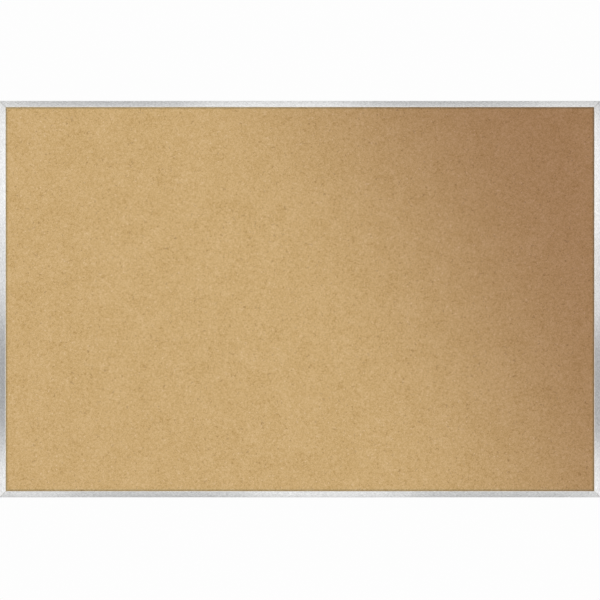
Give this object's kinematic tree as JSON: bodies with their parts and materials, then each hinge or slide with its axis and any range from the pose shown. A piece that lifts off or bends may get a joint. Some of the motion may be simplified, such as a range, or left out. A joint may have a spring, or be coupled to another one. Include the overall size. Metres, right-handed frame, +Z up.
{
  "type": "cork bulletin board",
  "caption": "Wall-mounted cork bulletin board with a slim mitred aluminium frame, a laminated panel and sliding keyhole hangers on its back.",
  "frame": {"origin": "centre of the wall plane: the plane that the rear faces of the hangers and bumpers share, at the middle of the board's width and height", "axes": "+Z up, +X to the right for someone reading the board, +Y into the wall, so the cork faces -Y"},
  "size_m": [0.9144, 0.019, 0.6032],
  "materials": {
    "cork": "natural fine-grain cork",
    "fibreboard": "pressed fibre, cut edges",
    "kraft_paper": "kraft paper",
    "anodised_aluminium": "satin anodised",
    "zinc_plated_steel": "zinc plated",
    "black_steel": "black oxide",
    "rubber": "matte"
  },
  "bodies": {
    "board": {"cork_sheet": "cork", "fibreboard_core": "fibreboard", "backing_paper": "kraft_paper", "top_rail": "anodised_aluminium", "right_rail": "anodised_aluminium", "bottom_rail": "anodised_aluminium", "left_rail": "anodised_aluminium", "corner_key_top_left": "zinc_plated_steel", "backup_plate_top_left": "zinc_plated_steel", "corner_screw_top_left_1": "black_steel", "corner_screw_top_left_2": "black_steel", "corner_key_top_right": "zinc_plated_steel", "backup_plate_top_right": "zinc_plated_steel", "corner_screw_top_right_1": "black_steel", "corner_screw_top_right_2": "black_steel", "corner_key_bottom_right": "zinc_plated_steel", "backup_plate_bottom_right": "zinc_plated_steel", "corner_screw_bottom_right_1": "black_steel", "corner_screw_bottom_right_2": "black_steel", "corner_key_bottom_left": "zinc_plated_steel", "backup_plate_bottom_left": "zinc_plated_steel", "corner_screw_bottom_left_1": "black_steel", "corner_screw_bottom_left_2": "black_steel", "bumper_left": "rubber", "bumper_right": "rubber"},
    "hanger_left": {"hanger_left": "zinc_plated_steel", "hanger_screw_left_1": "black_steel", "hanger_screw_left_2": "black_steel"},
    "hanger_right": {"hanger_right": "zinc_plated_steel", "hanger_screw_right_1": "black_steel", "hanger_screw_right_2": "black_steel"}
  },
  "joints": [
    {"name": "hanger_left_slide", "type": "slide", "parent": "board", "child": "hanger_left", "axis": [1, 0, 0], "range_m": [-0.084, 0.27]},
    {"name": "hanger_right_slide", "type": "slide", "parent": "board", "child": "hanger_right", "axis": [1, 0, 0], "range_m": [-0.27, 0.084]}
  ]
}
